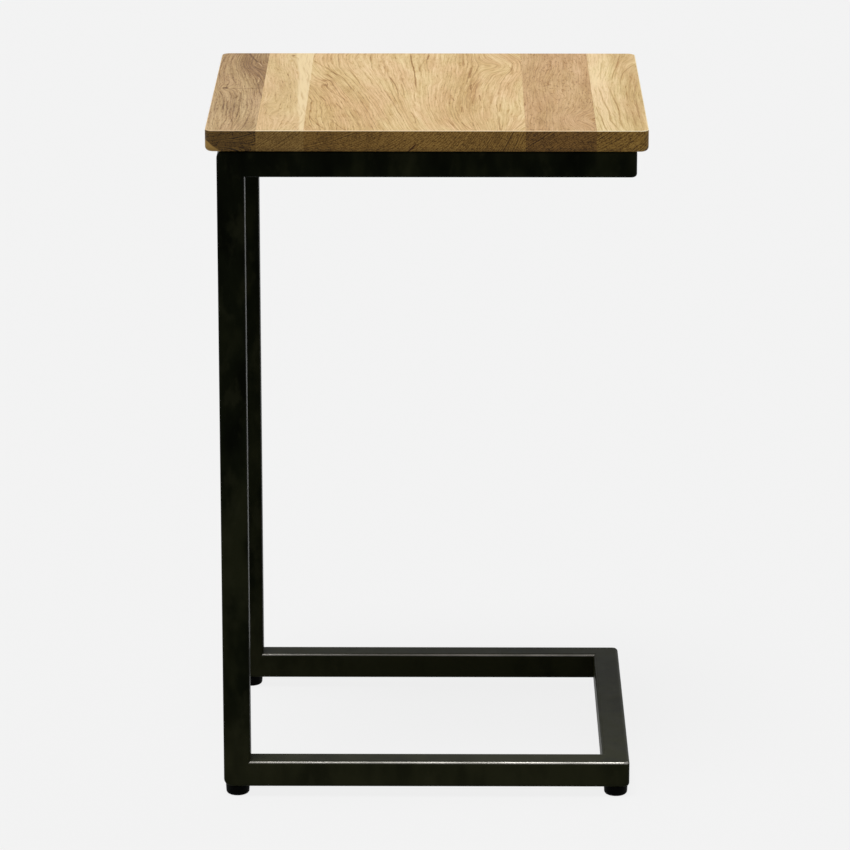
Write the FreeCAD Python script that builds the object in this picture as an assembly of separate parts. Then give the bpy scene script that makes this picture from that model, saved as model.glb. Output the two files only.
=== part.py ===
import FreeCAD, Part
import math
import os

# A C-shaped sofa table: an oak plank top on a welded square-tube frame with four screw-in levelling feet.
# Millimetres. X runs across the planks, from the legs to the open side. Y runs with the grain, front to back.
# Z is up. The origin is on the floor, under the middle of the top.

V = FreeCAD.Vector
X = V(1, 0, 0)
Y = V(0, 1, 0)
Z = V(0, 0, 1)

# Oak top
top_width = 400.0
top_depth = 350.0
table_height = 640.0
top_thickness = 20.0
left_edge_plank_width = 46.0
inner_left_plank_width = 43.0
inner_right_plank_width = 64.0
right_edge_plank_width = 47.0
top_corner_radius = 8.0
top_upper_edge_radius = 1.0
top_lower_edge_radius = 4.0

# Steel tube frame
side_overhang = 10.0
front_overhang = 6.0
tube_size = 25.0
tube_wall = 2.0
tube_edge_radius = 3.2
leg_corner_radius = 7.5
end_corner_radius = 5.6

# Angle brackets under the top
bracket_inset = 50.0
bracket_width = 34.0
bracket_reach = 26.0
bracket_drop = 16.0
bracket_thickness = 3.0
bracket_corner_radius = 4.0
slot_length = 12.0
slot_width = 5.2
slot_from_wall = 15.0

# Wood screws and washers
screw_diameter = 4.5
screw_length = 18.0
screw_tip_length = 4.0
screw_tip_diameter = 0.6
screw_head_diameter = 8.6
screw_head_height = 2.8
recess_length = 4.4
recess_width = 1.0
recess_depth = 1.6
washer_diameter = 11.0
washer_hole_diameter = 5.0
washer_thickness = 1.0
pilot_spare_depth = 0.6

# Levelling feet
glide_height = 10.0
glide_top_diameter = 22.6
glide_rim_diameter = 21.8
glide_flat_diameter = 16.0
glide_rim_height = 3.2
stud_diameter = 6.0
stud_head_diameter = 12.0
stud_head_height = 2.0
stud_head_floor = 2.5
stud_reach = 18.0
stud_chamfer = 0.8

# Rivet nuts in the base tubes
insert_barrel_diameter = 9.0
insert_flange_diameter = 11.0
insert_flange_thickness = 0.8
insert_bulge_diameter = 11.0
insert_bulge_height = 3.0
insert_length = 14.0

# Fits
thread_clearance = 0.05
fit_clearance = 0.05
flange_clearance = 0.3
cut_margin = 2.0

# Places that follow from the sizes above
half_tube = tube_size / 2
bore_size = tube_size - 2 * tube_wall
bore_edge_radius = max(tube_edge_radius - tube_wall, tube_wall / 2)
frame_top = table_height - top_thickness
leg_x = -(top_width / 2 - side_overhang - half_tube)
open_x = -leg_x
front_y = -(top_depth / 2 - front_overhang - half_tube)
rear_y = -front_y
top_rail_z = frame_top - half_tube
base_rail_z = glide_height + half_tube
outer_planks_width = (
    left_edge_plank_width + inner_left_plank_width + inner_right_plank_width + right_edge_plank_width
)
planks = [
    ("left_edge_plank", left_edge_plank_width),
    ("inner_left_plank", inner_left_plank_width),
    ("centre_plank", top_width - outer_planks_width),
    ("inner_right_plank", inner_right_plank_width),
    ("right_edge_plank", right_edge_plank_width),
]
bracket_columns = {"left": leg_x + bracket_inset, "right": open_x - bracket_inset}
sides = {"front": (front_y, Y), "rear": (rear_y, -Y)}
screw_seat_z = frame_top - bracket_thickness - washer_thickness


def revolved(profile, centre):
    """Solid of revolution about a vertical axis, from points given as (radius, height)."""
    outline = Part.makePolygon([V(radius, 0, height) for radius, height in profile + profile[:1]])
    solid = Part.Face(outline).revolve(V(0, 0, 0), Z, 360)
    solid.translate(centre)
    return solid


def rounded_square(size, radius):
    """Square face with rounded corners in the XY plane, about the origin."""
    half = size / 2
    flat = half - radius
    bend = radius * math.sqrt(0.5)
    edges = []
    for turn in range(4):
        spin = FreeCAD.Rotation(Z, 90 * turn)
        start = spin.multVec(V(half, -flat, 0))
        end = spin.multVec(V(half, flat, 0))
        middle = spin.multVec(V(flat + bend, flat + bend, 0))
        corner_end = spin.multVec(V(flat, half, 0))
        edges.append(Part.LineSegment(start, end).toShape())
        edges.append(Part.Arc(end, middle, corner_end).toShape())
    return Part.Face(Part.Wire(edges))


def bar(size, edge_radius, start, end):
    """Square bar with rounded edges and square ends between two points of its centre line."""
    run = end - start
    solid = rounded_square(size, edge_radius).extrude(Z * run.Length)
    solid.Placement = FreeCAD.Placement(start, FreeCAD.Rotation(Z, run))
    return solid


def mitre_cutter(half, radius, corner, along, turn):
    """What is cut from a bar that runs along to a corner, where the next bar leaves towards turn.

    The cut is a 45 degree mitre through the corner, with the outer corner of the joint ground round.
    """
    outside = half + cut_margin
    round_centre = half - radius

    def place(u, v):
        return corner + along * u - turn * v

    def on_round(degrees):
        angle = math.radians(degrees)
        return place(round_centre + radius * math.cos(angle), round_centre + radius * math.sin(angle))

    round_end = place(round_centre, half)
    arc = Part.Arc(on_round(45), on_round(67.5), round_end).toShape()
    straight = Part.makePolygon(
        [
            round_end,
            place(round_centre, outside),
            place(outside, outside),
            place(outside, -outside),
            place(-outside, -outside),
            on_round(45),
        ]
    )
    face = Part.Face(Part.Wire([arc] + straight.Edges))
    across = along.cross(turn)
    face.translate(across * -outside)
    return face.extrude(across * 2 * outside)


def runs_lengthwise(edge, along):
    """Whether an edge lies along a bar, at one of its ends or all the way."""
    ends = (edge.FirstParameter, edge.LastParameter)
    return any(math.isclose(abs(edge.tangentAt(place).dot(along)), 1.0) for place in ends)


def mitred_bar(size, edge_radius, start, end):
    """Square bar between two mitred corners, with its edges rounded along it and round the corners.

    Each corner is its place, where the next bar leaves it, and the radius that it is ground to.
    """
    half = size / 2
    inset = half_tube - half
    run = end[0] - start[0]
    along = run / run.Length
    solid = Part.makeBox(size, size, run.Length + size, V(-half, -half, -half))
    solid.Placement = FreeCAD.Placement(start[0], FreeCAD.Rotation(Z, along))
    for (corner, turn, radius), outward in ((start, along * -1), (end, along)):
        solid = solid.cut(mitre_cutter(half, radius - inset, corner, outward, turn))
    return solid.makeFillet(edge_radius, [edge for edge in solid.Edges if runs_lengthwise(edge, along)])


def square_tube(start, end):
    """Hollow square tube with square ends."""
    outer = bar(tube_size, tube_edge_radius, start, end)
    return outer.cut(bar(bore_size, bore_edge_radius, start, end))


def mitred_tube(start, end):
    """Hollow square tube between two mitred corners, with its wall carried round each ground corner."""
    outer = mitred_bar(tube_size, tube_edge_radius, start, end)
    return outer.cut(mitred_bar(bore_size, bore_edge_radius, start, end))


def foot_places():
    """Where each levelling foot stands, by name: under the middle of each corner of the base."""
    ends = {"left": leg_x, "right": open_x}
    return {f"{side}_{end}": V(ends[end], sides[side][0], 0) for side in sides for end in ends}


def insert_holes():
    """Round holes for the rivet nuts, through the lower wall of the base tubes."""
    radius = insert_barrel_diameter / 2 + fit_clearance
    depth = tube_wall + 2 * cut_margin
    below = Z * (glide_height - cut_margin)
    return [Part.makeCylinder(radius, depth, place + below) for place in foot_places().values()]


def side_frame(side):
    """The leg, the top rail and the base rail of one side of the C."""
    y, inward = sides[side]
    low_leg = V(leg_x, y, base_rail_z)
    high_leg = V(leg_x, y, top_rail_z)
    low_end = (V(open_x, y, base_rail_z), inward, end_corner_radius)
    high_end = (V(open_x, y, top_rail_z), inward, end_corner_radius)
    base_rail = mitred_tube((low_leg, Z, leg_corner_radius), low_end)
    return {
        f"{side}_leg": mitred_tube((low_leg, X, leg_corner_radius), (high_leg, X, leg_corner_radius)),
        f"{side}_top_rail": mitred_tube((high_leg, -Z, leg_corner_radius), high_end),
        f"{side}_base_rail": base_rail.cut(insert_holes()),
    }


def end_rail(z):
    """The tube across the open end of the frame, at one height."""
    return mitred_tube(
        (V(open_x, front_y, z), -X, end_corner_radius), (V(open_x, rear_y, z), -X, end_corner_radius)
    )


def cross_rails():
    """The tubes that join the two sides: two at the open end, and one between the legs at the top."""
    between_legs = square_tube(
        V(leg_x, front_y + half_tube, top_rail_z), V(leg_x, rear_y - half_tube, top_rail_z)
    )
    return {
        "base_cross_rail": end_rail(base_rail_z).cut(insert_holes()),
        "top_right_cross_rail": end_rail(top_rail_z),
        "top_left_cross_rail": between_legs,
    }


def screw_places():
    """Where each screw goes up into the top, by bracket name, at the height of the top's underside."""
    places = {}
    for side, (y, inward) in sides.items():
        for column, x in bracket_columns.items():
            places[f"{side}_{column}"] = V(x, y, frame_top) + inward * (half_tube + slot_from_wall)
    return places


def angle_bracket(side, x):
    """Angle bracket on the inner wall of a top rail, with a slot across the grain under the top."""
    y, inward = sides[side]
    wall = V(x - bracket_width / 2, y, frame_top) + inward * half_tube
    corners = [
        wall,
        wall + inward * bracket_reach,
        wall + inward * bracket_reach - Z * bracket_thickness,
        wall + inward * bracket_thickness - Z * bracket_thickness,
        wall + inward * bracket_thickness - Z * bracket_drop,
        wall - Z * bracket_drop,
    ]
    bracket = Part.Face(Part.makePolygon(corners + corners[:1])).extrude(X * bracket_width)
    tip_y = (wall + inward * bracket_reach).y
    tips = [
        edge
        for edge in bracket.Edges
        if abs(edge.CenterOfMass.y - tip_y) < fit_clearance and edge.BoundBox.ZLength > fit_clearance
    ]
    return bracket.makeFillet(bracket_corner_radius, tips)


def slot_cutter(place):
    """Slot through a bracket, centred on a screw and long across the grain."""
    radius = slot_width / 2
    straight = slot_length - slot_width
    height = bracket_thickness + 2 * cut_margin
    low = place - Z * (bracket_thickness + cut_margin)
    ends = [Part.makeCylinder(radius, height, low + X * offset) for offset in (-straight / 2, straight / 2)]
    middle = Part.makeBox(straight, slot_width, height, low - X * (straight / 2) - Y * radius)
    return middle.fuse(ends).removeSplitter()


def brackets():
    """The four angle brackets, by name."""
    places = screw_places()
    made = {}
    for side in sides:
        for column, x in bracket_columns.items():
            name = f"{side}_{column}"
            made[f"{name}_bracket"] = angle_bracket(side, x).cut(slot_cutter(places[name]))
    return made


def wood_screw(place):
    """Wood screw with a low domed head, a pointed tip and a cross recess."""
    head_radius = screw_head_diameter / 2
    shank_radius = screw_diameter / 2
    profile = [
        (0, -screw_head_height),
        (head_radius / 2, -screw_head_height),
        (head_radius, -screw_head_height / 2),
        (head_radius, 0),
        (shank_radius, 0),
        (shank_radius, screw_length - screw_tip_length),
        (screw_tip_diameter / 2, screw_length),
        (0, screw_length),
    ]
    seat = V(place.x, place.y, screw_seat_z)
    screw = revolved(profile, seat)
    bottom = seat - Z * screw_head_height
    for long_x, long_y in ((recess_length, recess_width), (recess_width, recess_length)):
        low = bottom - V(long_x / 2, long_y / 2, cut_margin)
        screw = screw.cut(Part.makeBox(long_x, long_y, cut_margin + recess_depth, low))
    return screw


def washer(place):
    """Flat washer between a screw head and its bracket."""
    low = V(place.x, place.y, screw_seat_z)
    ring = Part.makeCylinder(washer_diameter / 2, washer_thickness, low)
    return ring.cut(Part.makeCylinder(washer_hole_diameter / 2, washer_thickness, low))


def pilot_holes():
    """Blind holes in the underside of the top that take the screws."""
    radius = screw_diameter / 2 + thread_clearance
    in_wood = screw_length - bracket_thickness - washer_thickness + pilot_spare_depth
    return [
        Part.makeCylinder(radius, in_wood + cut_margin, place - Z * cut_margin)
        for place in screw_places().values()
    ]


def edges_at_height(shape, height):
    """The edges of a shape that lie flat at one height."""
    return [
        edge
        for edge in shape.Edges
        if max(abs(edge.BoundBox.ZMin - height), abs(edge.BoundBox.ZMax - height)) < fit_clearance
    ]


def oak_top():
    """The whole top as one rounded board, before it is divided into planks."""
    board = Part.makeBox(top_width, top_depth, top_thickness, V(-top_width / 2, -top_depth / 2, frame_top))
    upright = [edge for edge in board.Edges if edge.BoundBox.ZLength > top_thickness / 2]
    board = board.makeFillet(top_corner_radius, upright)
    board = board.makeFillet(top_lower_edge_radius, edges_at_height(board, frame_top))
    return board.makeFillet(top_upper_edge_radius, edges_at_height(board, table_height))


def oak_planks():
    """The planks of the top, side by side, with the pilot holes for the screws."""
    board = oak_top().cut(pilot_holes())
    depth = top_depth + 2 * cut_margin
    height = top_thickness + 2 * cut_margin
    made = {}
    left = -top_width / 2
    for name, width in planks:
        low = V(left, -depth / 2, frame_top - cut_margin)
        made[name] = board.common(Part.makeBox(width, depth, height, low))
        left += width
    return made


def glide(place):
    """Plastic foot with a rounded lower edge, moulded round the head of its stud."""
    flat = glide_flat_diameter / 2
    rim = glide_rim_diameter / 2
    stud_hole = stud_diameter / 2 + fit_clearance
    head_room = stud_head_diameter / 2 + fit_clearance
    head_top = stud_head_floor + stud_head_height
    recess = insert_flange_diameter / 2 + flange_clearance
    recess_floor = glide_height - insert_flange_thickness - flange_clearance
    swell = math.sqrt(0.5)
    bend = V(flat + (rim - flat) * swell, 0, glide_rim_height * (1 - swell))
    corners = [
        (rim, glide_rim_height),
        (glide_top_diameter / 2, glide_height),
        (recess, glide_height),
        (recess, recess_floor),
        (stud_hole, recess_floor),
        (stud_hole, head_top),
        (head_room, head_top),
        (head_room, stud_head_floor),
        (0, stud_head_floor),
        (0, 0),
        (flat, 0),
    ]
    straight = Part.makePolygon([V(radius, 0, height) for radius, height in corners])
    edge = Part.Arc(V(flat, 0, 0), bend, V(rim, 0, glide_rim_height)).toShape()
    solid = Part.Face(Part.Wire(straight.Edges + [edge])).revolve(V(0, 0, 0), Z, 360)
    solid.translate(place)
    return solid


def glide_stud(place):
    """Threaded stud of a foot: a flat head inside the glide and a stem that goes up into the rivet nut."""
    radius = stud_diameter / 2
    head_top = stud_head_floor + stud_head_height
    stem_top = glide_height + stud_reach
    profile = [
        (0, stud_head_floor),
        (stud_head_diameter / 2, stud_head_floor),
        (stud_head_diameter / 2, head_top),
        (radius, head_top),
        (radius, stem_top - stud_chamfer),
        (radius - stud_chamfer, stem_top),
        (0, stem_top),
    ]
    return revolved(profile, place)


def rivet_nut(place):
    """Rivet nut clamped in the lower wall of a base tube, with a flange outside and a bulge inside."""
    bore = stud_diameter / 2 + thread_clearance
    barrel = insert_barrel_diameter / 2
    flange = insert_flange_diameter / 2
    bulge = insert_bulge_diameter / 2
    bulge_top = tube_wall + insert_bulge_height
    profile = [
        (bore, -insert_flange_thickness),
        (flange, -insert_flange_thickness),
        (flange, 0),
        (barrel, 0),
        (barrel, tube_wall),
        (bulge, tube_wall),
        (bulge, bulge_top),
        (barrel, bulge_top),
        (barrel, insert_length),
        (bore, insert_length),
    ]
    return revolved(profile, place + Z * glide_height)


def all_parts():
    """Every node of the table, by name."""
    made = oak_planks()
    for side in sides:
        made.update(side_frame(side))
    made.update(cross_rails())
    made.update(brackets())
    made["top_screws"] = Part.makeCompound([wood_screw(place) for place in screw_places().values()])
    made["top_screw_washers"] = Part.makeCompound([washer(place) for place in screw_places().values()])
    made["foot_inserts"] = Part.makeCompound([rivet_nut(place) for place in foot_places().values()])
    for name, place in foot_places().items():
        made[f"{name}_glide"] = glide(place)
        made[f"{name}_stud"] = glide_stud(place)
    return made


os.makedirs("parts", exist_ok=True)
for name, shape in all_parts().items():
    shape.exportStep(f"parts/{name}.step")
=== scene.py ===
import math

import bpy
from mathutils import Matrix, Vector


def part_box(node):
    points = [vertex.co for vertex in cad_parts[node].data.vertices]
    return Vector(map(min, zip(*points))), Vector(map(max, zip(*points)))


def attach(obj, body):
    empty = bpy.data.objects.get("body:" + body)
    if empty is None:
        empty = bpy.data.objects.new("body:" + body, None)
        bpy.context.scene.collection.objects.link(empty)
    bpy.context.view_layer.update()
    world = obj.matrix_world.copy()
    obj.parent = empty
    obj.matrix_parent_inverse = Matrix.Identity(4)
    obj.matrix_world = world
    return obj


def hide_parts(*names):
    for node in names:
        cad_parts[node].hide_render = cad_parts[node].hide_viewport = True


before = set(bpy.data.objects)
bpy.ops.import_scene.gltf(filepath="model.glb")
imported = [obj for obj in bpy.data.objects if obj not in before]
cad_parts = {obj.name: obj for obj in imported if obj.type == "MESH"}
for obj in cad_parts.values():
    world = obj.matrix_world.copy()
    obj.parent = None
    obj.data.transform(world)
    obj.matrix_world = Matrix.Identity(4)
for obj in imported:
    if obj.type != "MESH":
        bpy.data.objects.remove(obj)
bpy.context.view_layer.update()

# The table is in metres. Materials work in millimetres from the middle of the floor under the top:
# x across the planks, y from the front to the back, z up.
MM = 1000.0
TOP_Z = 640.0
HALF_WIDTH = 200.0
HALF_DEPTH = 175.0

# A noise is moved by its offset times these shares along x, y and z.
NOISE_SHIFT = (1.0, 1.7, 0.6)
# A line in the wood has its full depth on this share of its half width, and it reaches that depth this
# quickly from its ends.
LINE_CORE = 0.2
LINE_TAPER = 9.0
# Added to the span of a line's curve, so that a straight line has one too.
LINE_SPAN_MARGIN = 1.0


def srgb(red, green, blue):
    """Linear colour from the 0 to 255 values that a screen shows."""
    def linear(value):
        value /= 255.0
        return value / 12.92 if value <= 0.04045 else ((value + 0.055) / 1.055) ** 2.4
    return (linear(red), linear(green), linear(blue), 1.0)


class Wire:
    """One value of a material's node tree, used like a number."""

    def __init__(self, graph, socket):
        self.graph = graph
        self.socket = socket

    def __add__(self, other):
        return self.graph.math("ADD", self, other)

    def __sub__(self, other):
        return self.graph.math("SUBTRACT", self, other)

    def __mul__(self, other):
        return self.graph.math("MULTIPLY", self, other)

    def __truediv__(self, other):
        return self.graph.math("DIVIDE", self, other)

    def __rsub__(self, other):
        return self.graph.math("SUBTRACT", other, self)

    def __abs__(self):
        return self.graph.math("ABSOLUTE", self)

    __radd__ = __add__
    __rmul__ = __mul__


class Graph:
    """A new node material, built up from wires."""

    def __init__(self, name):
        self.material = bpy.data.materials.new(name)
        self.material.use_nodes = True
        self.tree = self.material.node_tree
        self.shader = self.tree.nodes["Principled BSDF"]
        coordinates = self.tree.nodes.new("ShaderNodeTexCoord")
        scaled = self.tree.nodes.new("ShaderNodeVectorMath")
        scaled.operation = "SCALE"
        scaled.inputs["Scale"].default_value = MM
        self.tree.links.new(coordinates.outputs["Object"], scaled.inputs[0])
        self.place = Wire(self, scaled.outputs[0])
        self.x, self.y, self.z = self.split(self.place)
        self.normal = self.split(Wire(self, coordinates.outputs["Normal"]))

    def feed(self, socket, value):
        """Links a wire to a socket, or sets the socket to a plain value."""
        if isinstance(value, Wire):
            self.tree.links.new(value.socket, socket)
        else:
            socket.default_value = value

    def split(self, vector):
        """The x, y and z of a vector."""
        node = self.tree.nodes.new("ShaderNodeSeparateXYZ")
        self.feed(node.inputs[0], vector)
        return [Wire(self, output) for output in node.outputs]

    def join(self, x, y, z):
        """A vector from its x, y and z."""
        node = self.tree.nodes.new("ShaderNodeCombineXYZ")
        for socket, value in zip(node.inputs, (x, y, z)):
            self.feed(socket, value)
        return Wire(self, node.outputs[0])

    def math(self, operation, *values, clamp=False):
        """One calculation, kept between 0 and 1 where it is clamped."""
        node = self.tree.nodes.new("ShaderNodeMath")
        node.operation = operation
        node.use_clamp = clamp
        for socket, value in zip(node.inputs, values):
            self.feed(socket, value)
        return Wire(self, node.outputs[0])

    def ease(self, value, start, end, low=0.0, high=1.0):
        """Goes smoothly from low to high while a value goes from start to end."""
        node = self.tree.nodes.new("ShaderNodeMapRange")
        node.interpolation_type = "SMOOTHSTEP"
        for socket, given in zip(node.inputs, (value, start, end, low, high)):
            self.feed(socket, given)
        return Wire(self, node.outputs[0])

    def noise(self, scale, offset, detail, roughness, at=None):
        """Noise from 0 to 1, with its own scale along x, y and z, in waves per millimetre."""
        mapping = self.tree.nodes.new("ShaderNodeMapping")
        mapping.inputs["Location"].default_value = [offset * share for share in NOISE_SHIFT]
        mapping.inputs["Scale"].default_value = scale
        self.feed(mapping.inputs["Vector"], at or self.place)
        node = self.tree.nodes.new("ShaderNodeTexNoise")
        self.feed(node.inputs["Vector"], Wire(self, mapping.outputs[0]))
        node.inputs["Scale"].default_value = 1.0
        node.inputs["Detail"].default_value = detail
        node.inputs["Roughness"].default_value = roughness
        return Wire(self, node.outputs[0])

    def noises(self, table, seed=0.0, at=None):
        """The noises of a table, by name, each at its own offset from a seed."""
        made = {}
        for name, (scale, offset, detail, roughness) in table.items():
            made[name] = self.noise(scale, seed + offset, detail, roughness, at)
        return made

    def chance(self, value):
        """A fixed random number from 0 to 1 for each value."""
        node = self.tree.nodes.new("ShaderNodeTexWhiteNoise")
        node.noise_dimensions = "1D"
        self.feed(node.inputs["W"], value)
        return Wire(self, node.outputs[0])

    def ramp(self, value, positions, colours):
        """Colour that runs through colours as a value runs through their positions."""
        node = self.tree.nodes.new("ShaderNodeValToRGB")
        elements = node.color_ramp.elements
        while len(elements) < len(positions):
            elements.new(1.0)
        for element, position, colour in zip(elements, positions, colours):
            element.position = position
            element.color = colour
        self.feed(node.inputs[0], value)
        return Wire(self, node.outputs[0])

    def blend(self, factor, first, second, kind="MIX"):
        """Goes from the first colour to the second while the factor goes from 0 to 1."""
        node = self.tree.nodes.new("ShaderNodeMix")
        node.data_type = "RGBA"
        node.blend_type = kind
        self.feed(node.inputs[0], factor)
        self.feed(node.inputs[6], first)
        self.feed(node.inputs[7], second)
        return Wire(self, node.outputs[2])

    def spot(self, centre, size):
        """1 at a place on the top, falling softly to 0 at about twice its size."""
        across = (self.x - centre[0]) / size[0]
        along = (self.y - centre[1]) / size[1]
        return self.math("POWER", math.e, (across * across + along * along) * -1.0)

    def spots(self, places):
        """Adds up spots, each given as its centre, its size and how high it is."""
        return sum(self.spot(centre, size) * height for centre, size, height in places)

    def aside(self, points, across, along):
        """How far a place is aside of a smooth line through (across, along) points, and its part of the
        way from the line's start to its end."""
        first, last = points[0][1], points[-1][1]
        low = min(point[0] for point in points)
        span = max(point[0] for point in points) - low + LINE_SPAN_MARGIN
        part = self.math("DIVIDE", along - first, last - first, clamp=True)
        node = self.tree.nodes.new("ShaderNodeFloatCurve")
        curve = node.mapping.curves[0]
        while len(curve.points) < len(points):
            curve.points.new(0.5, 0.5)
        for knot, (side, place) in zip(curve.points, points):
            knot.location = ((place - first) / (last - first), (side - low) / span)
        node.mapping.update()
        self.feed(node.inputs["Value"], part)
        return across - low - Wire(self, node.outputs[0]) * span, part

    def line(self, points, half_width, across, along):
        """A thin line through (across, along) points, tapering at both ends."""
        off, part = self.aside(points, across, along)
        inside = self.math("MULTIPLY", part * (1.0 - part), LINE_TAPER, clamp=True)
        return self.ease(abs(off), half_width, half_width * LINE_CORE) * inside

    def corner(self, flat, full):
        """0 on flat faces that lie square to the axes, rising to 1 on a rounded edge: flat and full are
        the largest part of the surface's direction where it starts and where it is reached."""
        sides = [abs(side) for side in self.normal]
        largest = self.math("MAXIMUM", self.math("MAXIMUM", sides[0], sides[1]), sides[2])
        return self.ease(largest, flat, full)

    def bump(self, height, distance, strength):
        """Fine relief of the surface, with its height in metres."""
        node = self.tree.nodes.new("ShaderNodeBump")
        node.inputs["Strength"].default_value = strength
        node.inputs["Distance"].default_value = distance
        self.feed(node.inputs["Height"], height)
        self.feed(self.shader.inputs["Normal"], Wire(self, node.outputs[0]))

    def set(self, **values):
        """Sets or links inputs of the shader, named with _ for each space."""
        for name, value in values.items():
            self.feed(self.shader.inputs[name.replace("_", " ")], value)


def weigh(parts, weights):
    """Adds up the parts that have a weight, each times its weight."""
    return sum(parts[name] * weight for name, weight in weights.items())


def plan(left, back):
    """Place on the top, from millimetres from its left and back edges."""
    return (left - HALF_WIDTH, HALF_DEPTH - back)


def vein(half_width, depth, *points):
    """A dark line in the wood, or a pale one if its depth is negative, through places given in
    millimetres from the left and back edges of the top."""
    return (half_width, depth, [plan(*point) for point in points])


def end_tint(left, half_width, height):
    """A paler part of a plank's front end, or a darker one if its height is negative."""
    return (plan(left, 2 * HALF_DEPTH), (half_width, HALF_DEPTH), height)


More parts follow.
